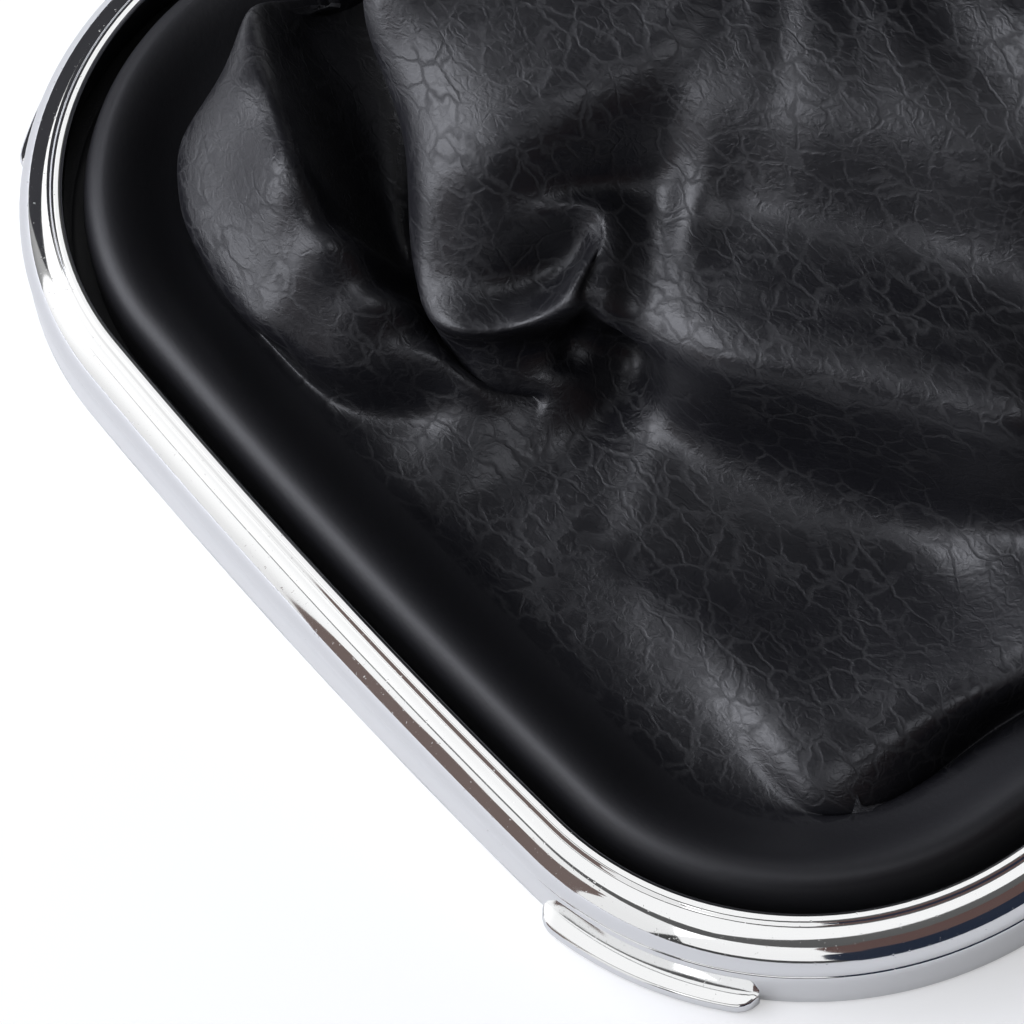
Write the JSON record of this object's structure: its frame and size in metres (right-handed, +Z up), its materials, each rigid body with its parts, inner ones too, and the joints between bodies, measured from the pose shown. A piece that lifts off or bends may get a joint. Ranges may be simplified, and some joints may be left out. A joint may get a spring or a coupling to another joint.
{
  "type": "gear lever gaiter",
  "caption": "Soft leatherette boot in a rounded-square chrome-plated surround, closing the console opening round a gear lever.",
  "frame": {"origin": "middle of the frame in plan, on the console surface that the surround and the carrier stand on", "axes": "+Z up along the gear lever, from the console to the neck of the boot; +X along the side of the frame that the picture shows, towards the corner nearest the viewer; +Y away from that side"},
  "size_m": [0.1188, 0.1186, 0.0685],
  "materials": {
    "chrome_plate": "bright chrome plate on moulded plastic, with fine scratches and pits",
    "carrier_plastic": "black moulded plastic, matt",
    "leatherette": "black grained leatherette with a satin sheen and creased folds",
    "collar_plastic": "black moulded plastic, satin",
    "tie_plastic": "black nylon tie"
  },
  "bodies": {
    "root": {"chrome_bezel": "chrome_plate", "carrier_frame": "carrier_plastic", "gaiter_skin": "leatherette", "neck_collar": "collar_plastic", "neck_tie": "tie_plastic"}
  },
  "joints": []
}
